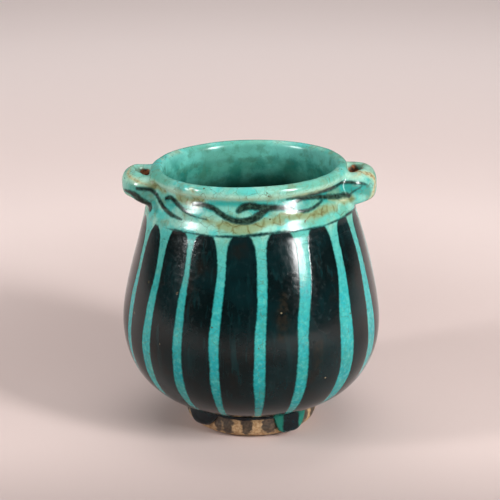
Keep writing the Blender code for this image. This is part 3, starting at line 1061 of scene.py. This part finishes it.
def craze(tree, size, half, shift):
    """1 along the cracks of the glaze, in cells about that many millimetres across."""
    where = placed(tree, shift=shift)
    bend = tree.nodes.new("ShaderNodeTexNoise")
    bend.inputs["Scale"].default_value = 1 / (size * 0.7 * MM)
    bend.inputs["Detail"].default_value = 2.0
    feed(bend.inputs["Vector"], where)
    wander = tree.nodes.new("ShaderNodeVectorMath")
    wander.operation = "MULTIPLY_ADD"
    for index, value in enumerate((bend.outputs["Color"], (size * 0.5 * MM,) * 3, where)):
        feed(wander.inputs[index], value)
    cells = tree.nodes.new("ShaderNodeTexVoronoi")
    cells.feature = "DISTANCE_TO_EDGE"
    cells.inputs["Scale"].default_value = 1 / (size * MM)
    feed(cells.inputs["Vector"], wander.outputs[0])
    return between(cells.outputs["Distance"], 0.0, half / size, 1.0, 0.0)


def pinholes(tree, size, reach, share, shift):
    """1 in small round spots, in that share of cells that are so many millimetres across."""
    cells = tree.nodes.new("ShaderNodeTexVoronoi")
    cells.inputs["Scale"].default_value = 1 / (size * MM)
    feed(cells.inputs["Vector"], placed(tree, shift=shift))
    spot = between(cells.outputs["Distance"], reach / size * 0.5, reach / size, 1.0, 0.0)
    pick = tree.nodes.new("ShaderNodeSeparateColor")
    feed(pick.inputs[0], cells.outputs["Color"])
    return times(spot, calc("GREATER_THAN", pick.outputs[0], 1 - share))


def relief(shader, height):
    """A bump whose height is in millimetres."""
    node = height.id_data.nodes.new("ShaderNodeBump")
    node.inputs["Distance"].default_value = MM
    node.inputs["Strength"].default_value = 1.0
    feed(node.inputs["Height"], height)
    feed(shader.inputs["Normal"], node.outputs["Normal"])


# %% [markdown]
# ## The painted glaze
#
# One glaze covers everything but the foot. It is built up in layers: the turquoise, its stains and
# cracks, the coat inside, the dark painting, and last the worn and bare places. The turquoise is
# painted darker low on the belly as painted shade and lighter towards the shoulder as painted light,
# paler on the neck where it ran thin, and deep again under the lip, where the glaze pooled and where
# painted shade stands for the shadow of the crease.

# %% The turquoise coat
PALE_HEIGHT, POOL_AND_SHADE_HEIGHT = 136.4, 131.2


def clear_coat(tree, height, neckness, slow, middle, fine):
    # Painted shade and light: the height washes make the turquoise darker low on the belly and lighter
    # towards the shoulder.
    shaded_belly_blue = washed(
        mixed(between(height, 42, 76), tint(6, 140, 146), tint(38, 153, 155)),
        (between(middle, 0.35, 0.65, 0.0, 0.5), tint(56, 160, 150)),
        (between(slow, 0.54, 0.74, 0.0, 0.5), tint(54, 134, 120)),
        (between(height, 84, 108, 0.0, 0.75), tint(80, 164, 154)),
        (between(fine, 0.50, 0.72, 0.0, 0.45), tint(18, 112, 114)),
        (between(fine, 0.50, 0.30, 0.0, 0.30), tint(110, 186, 172)),
    )
    neck_blue = mixed(between(middle, 0.40, 0.60), tint(80, 180, 172), tint(132, 190, 174))
    neck_blue = mixed(between(slow, 0.42, 0.60, 0.0, 0.8), neck_blue, tint(86, 158, 138))
    paler = between(calc("ABSOLUTE", minus(height, PALE_HEIGHT)), 0.6, 2.6, 0.5, 0.0)
    # Painted shade, with some pooled glaze: a deep band just under the lip where the crease is shaded, and
    # the stored marks at the lug roots.
    pooled_and_shaded = between(calc("ABSOLUTE", minus(height, POOL_AND_SHADE_HEIGHT)), 1.2, 5.6, 0.85, 0.0)
    pooled_and_shaded = times(pooled_and_shaded, between(middle, 0.40, 0.60, 1.0, 0.4))
    pooled_and_shaded = calc("MAXIMUM", pooled_and_shaded, between(stored(tree, "pooled_and_shaded"), -1.0, 2.4, 0.95, 0.0))
    colour = mixed(neckness, shaded_belly_blue, neck_blue)
    return washed(colour, (paler, tint(174, 210, 188)), (pooled_and_shaded, tint(28, 134, 126)))


# %% [markdown]
# ### Stains and cracks
#
# The glaze shrank more than the clay, so it is crazed all over. Earth crept into the cracks, browned
# them and left olive stains round them on the neck. The edges of a pattern of cells give such a net
# of cracks at any size, and clouds decide how dark each stretch of it is.

# %% Stains and cracks
CRACK_CELL, SMALL_CRACK_CELL = 5.0, 3.0


def crack_strength(tree, height, soaked, cracks):
    patchy = between(cloud(tree, 14, 2, shift=(0, 0.9, 0)), 0.40, 0.60, 0.25, 0.8)
    patchy = calc("MAXIMUM", patchy, soaked)
    share = times(cracks, times(patchy, between(height, 100, 122, 0.60, 0.85)))
    return times(share, between(cloud(tree, 4.0, 2, shift=(0.4, 0.4, 0)), 0.36, 0.56, 0.2, 1.0))


def stained_coat(tree, colour, neckness, soaked, crack_share):
    cloudy = between(cloud(tree, 7, 4, shift=(0.7, 0, 0.2)), 0.50, 0.70, 0.0, 0.5)
    seeped = between(craze(tree, CRACK_CELL, 1.1, (0, 0, 0)), 0.10, 0.9, 0.35, 0.80)
    stain = calc("MAXIMUM", times(cloudy, neckness), times(soaked, seeped))
    return washed(
        colour,
        (times(soaked, times(neckness, 0.75)), tint(136, 152, 108)),
        (times(stain, neckness), tint(108, 114, 72)),
        (crack_share, tint(74, 62, 28)),
        (times(craze(tree, SMALL_CRACK_CELL, 0.15, (0.2, 0.1, 0)), 0.22), tint(86, 100, 60)),
        (pinholes(tree, 4.6, 0.62, 0.26, (0, 0, 0.3)), tint(78, 72, 44)),
    )


# %% [markdown]
# ### The inside and the painting
#
# Inside, the coat is murky, painted paler by the lip as painted light and darker towards the bottom
# as painted shade. The painting is almost black on the panels, with thin blue streaks down them,
# brown patches and a few pale pinholes. On the neck the brush was drier and its strokes are a broken
# grey-green.

# %% The coat inside and the dark painting
def well_coat_and_shade(tree, height, slow, middle, cracks):
    depth = stirred(height, slow, 18.0)
    return washed(
        mixed(between(middle, 0.36, 0.64), tint(88, 174, 158), tint(46, 130, 116)),
        # Painted light: paler towards the lip.
        (between(depth, 128, 139, 0.0, 0.8), tint(112, 192, 180)),
        (between(slow, 0.48, 0.66, 0.0, 0.5), tint(56, 112, 88)),
        (between(cloud(tree, 6, 4, shift=(0.1, 0.6, 0)), 0.50, 0.64, 0.0, 0.5), tint(66, 120, 98)),
        (times(cracks, 0.15), tint(50, 60, 34)),
        # Painted shade: darker towards the bottom of the inside.
        (between(depth, 131, 113), tint(12, 46, 38)),
    )


def dark_paint(tree, height, soaked, slow, fine):
    streaks = cloud(tree, 3.0, 4, stretch=(1, 1, 0.12), shift=(0, 0, 0.6))
    brushed = mixed(between(fine, 0.42, 0.62), tint(18, 34, 28), tint(44, 70, 58))
    return washed(
        mixed(between(slow, 0.40, 0.62), tint(2, 14, 15), tint(3, 26, 28)),
        (between(cloud(tree, 16, 3, shift=(0.5, 0.5, 0)), 0.54, 0.72, 0.0, 0.8), tint(22, 20, 16)),
        (between(streaks, 0.50, 0.75, 0.0, 0.55), tint(8, 44, 46)),
        (between(fine, 0.55, 0.80, 0.0, 0.4), tint(26, 44, 44)),
        (times(soaked, between(fine, 0.35, 0.65, 0.1, 0.5)), tint(38, 30, 18)),
        (pinholes(tree, 7.5, 0.6, 0.22, (0.6, 0, 0.1)), tint(120, 108, 84)),
        (between(height, 118.6, 120.6, 0.0, 0.85), brushed),
    )


# %% [markdown]
# ### The whole glaze
#
# The marks were stored as distances, so noise first makes their edges uneven, by a millimetre or so,
# and each then becomes a share between 0 and 1. The painting bleeds a little into the turquoise.
# Worn places have a pale halo and a cream middle, and on the top edges of the lugs that cream is also
# a painted highlight. The bores are bare reddish clay. The gloss comes from a low roughness, and a
# fine orange-peel bump breaks the reflections up.

# %% The glaze recipe
GLAZE_IOR = 1.30
NECK_START, NECK_FULL = 112.0, 126.0


def glaze(name):
    material, tree, shader = new_material(name)
    height, inside = stored(tree, "height"), stored(tree, "inside")
    slow, middle = cloud(tree, 26, 3), cloud(tree, 9, 4, shift=(0.3, 0, 0))
    fine, edge_noise = cloud(tree, 2.2, 3, shift=(0, 0.4, 0)), cloud(tree, 1.6, 3, shift=(0.1, 0.2, 0))
    neckness = between(plus(height, times(middle, 10.0)), NECK_START, NECK_FULL)
    soaked = between(stirred(stored(tree, "stained"), middle, 7.0), -0.8, 2.2, 1.0, 0.0)
    cracks = craze(tree, CRACK_CELL, 0.20, (0, 0, 0))
    crack_share = crack_strength(tree, height, soaked, cracks)

    colour = clear_coat(tree, height, neckness, slow, middle, fine)
    colour = stained_coat(tree, colour, neckness, soaked, crack_share)
    colour = mixed(inside, colour, well_coat_and_shade(tree, height, slow, middle, cracks))

    dark = stirred(stored(tree, "dark"), edge_noise, 1.1)
    colour = mixed(between(dark, -0.2, 0.75, 0.75, 0.0), colour, tint(6, 76, 74))
    solid = between(neckness, 0.0, 1.0, -0.42, -0.75)
    painted = between(dark, solid, between(neckness, 0.0, 1.0, 0.26, 0.42), 1.0, 0.0)
    colour = mixed(painted, colour, dark_paint(tree, height, soaked, slow, fine))

    # Wear, and on the lug tops a painted highlight: cream with a pale halo.
    worn_and_highlit = stirred(stirred(stored(tree, "worn_and_highlit"), fine, 2.2), middle, 2.0)
    halo = times(between(worn_and_highlit, -1.2, 1.4, 0.75, 0.0), neckness)
    worn_and_highlit_share = times(between(worn_and_highlit, -1.7, 0.1, 0.9, 0.0), between(edge_noise, 0.3, 0.55, 0.4, 1.0))
    cream = mixed(between(edge_noise, 0.42, 0.62), tint(182, 172, 130), tint(130, 98, 54))
    bare_share = between(stirred(stored(tree, "bare"), fine, 1.6), -0.4, 0.4, 1.0, 0.0)
    red_clay = mixed(between(fine, 0.35, 0.65), tint(164, 98, 60), tint(60, 36, 24))
    colour = washed(colour, (halo, tint(152, 180, 148)), (worn_and_highlit_share, cream), (bare_share, red_clay))
    feed(shader.inputs["Base Color"], colour)

    dry = calc("MAXIMUM", times(worn_and_highlit_share, 0.6), bare_share)
    roughness = plus(between(fine, 0.3, 0.8, 0.11, 0.21), times(dry, 0.55))
    feed(shader.inputs["Roughness"], plus(roughness, times(neckness, 0.07)))
    shader.inputs["IOR"].default_value = GLAZE_IOR

    peel = times(cloud(tree, 1.3, 2, shift=(0.2, 0.8, 0)), 0.030)
    grain = times(cloud(tree, 0.7, 2, shift=(0.9, 0, 0)), 0.022)
    bump = minus(plus(peel, grain), times(crack_share, 0.02))
    bump = minus(plus(bump, times(painted, 0.05)), times(worn_and_highlit_share, 0.12))
    relief(shader, minus(bump, times(times(bare_share, fine), 0.3)))
    print(name, "nodes:", len(tree.nodes))
    return material


# %% [markdown]
# ## Bare clay and thick glass
#
# The foot is buff clay with dark brown patches, where glaze and earth stained it. The glass beads
# are almost black where they are thick and show turquoise where they thin out.

# %% The clay and the glass
GLASS_IOR = 1.34


def bare_clay():
    material, tree, shader = new_material("bare buff clay")
    crumbs, dust = cloud(tree, 1.4, 4), cloud(tree, 3.2, 3, shift=(0, 0.3, 0.6))
    patch = cloud(tree, 3.4, 2.5, shift=(0.12, 0.4, 0))
    colour = mixed(between(crumbs, 0.35, 0.65), tint(156, 120, 80), tint(188, 158, 116))
    colour = mixed(between(dust, 0.55, 0.70, 0.0, 0.7), colour, tint(122, 92, 62))
    stain = between(stirred(stored(tree, "grime"), patch, 6.0), -0.7, 0.9, 1.0, 0.0)
    brown = mixed(between(crumbs, 0.4, 0.7), tint(20, 15, 11), tint(72, 54, 36))
    feed(shader.inputs["Base Color"], mixed(times(stain, 0.92), colour, brown))
    feed(shader.inputs["Roughness"], between(stain, 0.0, 1.0, 0.9, 0.55))
    relief(shader, times(crumbs, 0.35))
    return material


def thick_glass():
    material, tree, shader = new_material("thick dark glass")
    swirl = cloud(tree, 3.0, 3)
    thin = between(stirred(stored(tree, "dark"), swirl, 3.0), -0.8, 0.9)
    deep = mixed(between(swirl, 0.4, 0.7), tint(8, 18, 22), tint(12, 34, 38))
    feed(shader.inputs["Base Color"], mixed(thin, deep, mixed(swirl, tint(6, 92, 84), tint(30, 124, 104))))
    feed(shader.inputs["Roughness"], between(swirl, 0.3, 0.7, 0.08, 0.20))
    shader.inputs["IOR"].default_value = GLASS_IOR
    relief(shader, times(cloud(tree, 1.6, 2), 0.06))
    return material


# %% [markdown]
# ## Fitting the pieces to the imported model
#
# Each dressed piece takes the place of the node it stands for, rides on the jar's one body and takes
# the finish listed for it.

# %% Dress the nodes
FINISHES = {
    "panelled_glaze": glaze("panelled glaze"),
    "turquoise_glaze": glaze("turquoise glaze"),
    "bare_clay": bare_clay(),
    "thick_glass": thick_glass(),
}
DRESSED = [
    (belly, "body", "panelled_glaze"),
    (collar, "neck_collar", "turquoise_glaze"),
    (lip, "rim_lip", "turquoise_glaze"),
    (handle_left, "handle_left", "turquoise_glaze"),
    (handle_right, "handle_right", "turquoise_glaze"),
    (foot, "foot_ring", "bare_clay"),
    (run_left, "glaze_run_left", "thick_glass"),
    (run_right, "glaze_run_right", "thick_glass"),
    (edge_front, "glaze_edge_front", "thick_glass"),
    (edge_back, "glaze_edge_back", "thick_glass"),
]
for piece, node, slot in DRESSED:
    piece.data.materials.clear()
    piece.data.materials.append(FINISHES[slot])
    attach(piece, "root")
    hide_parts(node)
    print(piece.name, "triangles:", sum(len(face.vertices) - 2 for face in piece.data.polygons))

# %% [markdown]
# ## The studio
#
# The jar stands on a pale pinkish sweep, painted darker near the jar and in front of it as painted
# shadow and paler further off as painted light. Two upright soft boxes draw the streaks on the
# shoulders, one at the left and a stronger one at the right. Each has a glint lamp at the same place
# that only the gloss sees, so the streaks grow brighter and the colours don't. A broad lamp overhead
# and a fill above the camera light the rest, and one more lights the backdrop.

# %% Floor, lights and camera
FLOOR_SIZE = 8.0


def floor_with_painted_shadow():
    material, tree, shader = new_material("pale sweep with painted shadow")
    where = tree.nodes.new("ShaderNodeTexCoord").outputs["Object"]
    split = tree.nodes.new("ShaderNodeSeparateXYZ")
    feed(split.inputs[0], where)
    length = tree.nodes.new("ShaderNodeVectorMath")
    length.operation = "LENGTH"
    feed(length.inputs[0], where)
    away = length.outputs["Value"]
    # Painted shadow: darker in front of the jar.
    colour = mixed(between(split.outputs["Y"], -0.03, -0.14), tint(204, 186, 181), tint(168, 153, 149))
    # Painted shadow near the jar, and paler further off as painted light.
    colour = mixed(between(away, 0.15, 0.44), colour, tint(238, 220, 215))
    colour = mixed(between(away, 0.5, 1.1), colour, tint(255, 240, 236))
    feed(shader.inputs["Base Color"], colour)
    shader.inputs["Roughness"].default_value = 0.9
    shader.inputs["Specular IOR Level"].default_value = 0.1
    return material


begin()
bpy.ops.mesh.primitive_plane_add(size=FLOOR_SIZE, location=(0, 0, 0))
floor = bpy.context.object
floor.name = "floor"
floor.data.materials.append(floor_with_painted_shadow())


def soft_box(name, azimuth, elevation, distance, width, height, power, aim=(0, 0, 0.09), gloss_only=False):
    """An area lamp that faces its aim: two angles in degrees, three lengths in metres, power in watts."""
    turn, lift = radians(azimuth), radians(elevation)
    place = Vector((sin(turn) * cos(lift), -cos(turn) * cos(lift), sin(lift))) * distance + Vector(aim)
    light = bpy.data.lights.new(name, "AREA")
    light.shape, light.size, light.size_y, light.energy = "RECTANGLE", width, height, power
    lamp = bpy.data.objects.new(name, light)
    bpy.context.scene.collection.objects.link(lamp)
    lamp.location = place
    lamp.rotation_euler = (Vector(aim) - place).to_track_quat("-Z", "Y").to_euler()
    lamp.visible_diffuse = not gloss_only
    return lamp


soft_box("soft box right", 49, 24, 1.1, 0.20, 0.50, 14.4)
soft_box("glint right", 49, 24, 1.09, 0.20, 0.50, 17.0, gloss_only=True)
soft_box("soft box left", -68, 22, 1.1, 0.14, 0.40, 6.4)
soft_box("glint left", -68, 22, 1.09, 0.18, 0.40, 11.0, gloss_only=True)
soft_box("soft box overhead", 180, 72, 1.6, 1.6, 1.4, 13.5)
soft_box("fill above the camera", 10, 50, 1.5, 1.1, 0.8, 4.0)
soft_box("lamp for the backdrop", 180, 85, 1.2, 1.6, 0.6, 2.4, aim=(0, 1.35, 0))

world = bpy.data.worlds.new("studio")
bpy.context.scene.world = world
world.use_nodes = True
background = world.node_tree.nodes["Background"]
background.inputs["Color"].default_value = tint(236, 218, 214)
background.inputs["Strength"].default_value = 0.12

CAMERA_DISTANCE, CAMERA_RISE = 0.9, radians(17.78)
AIM_HEIGHT, CAMERA_SIDE = 0.0937, -0.0007
LENS, SENSOR = 123.2, 36
camera = bpy.data.objects.new("camera", bpy.data.cameras.new("camera"))
bpy.context.scene.collection.objects.link(camera)
back, up = CAMERA_DISTANCE * cos(CAMERA_RISE), CAMERA_DISTANCE * sin(CAMERA_RISE)
camera.location = (CAMERA_SIDE, -back, AIM_HEIGHT + up)
camera.rotation_euler = (pi / 2 - CAMERA_RISE, 0, 0)
camera.data.sensor_width = SENSOR
camera.data.lens = LENS
bpy.context.scene.camera = camera
bpy.context.scene.view_settings.view_transform = "Standard"
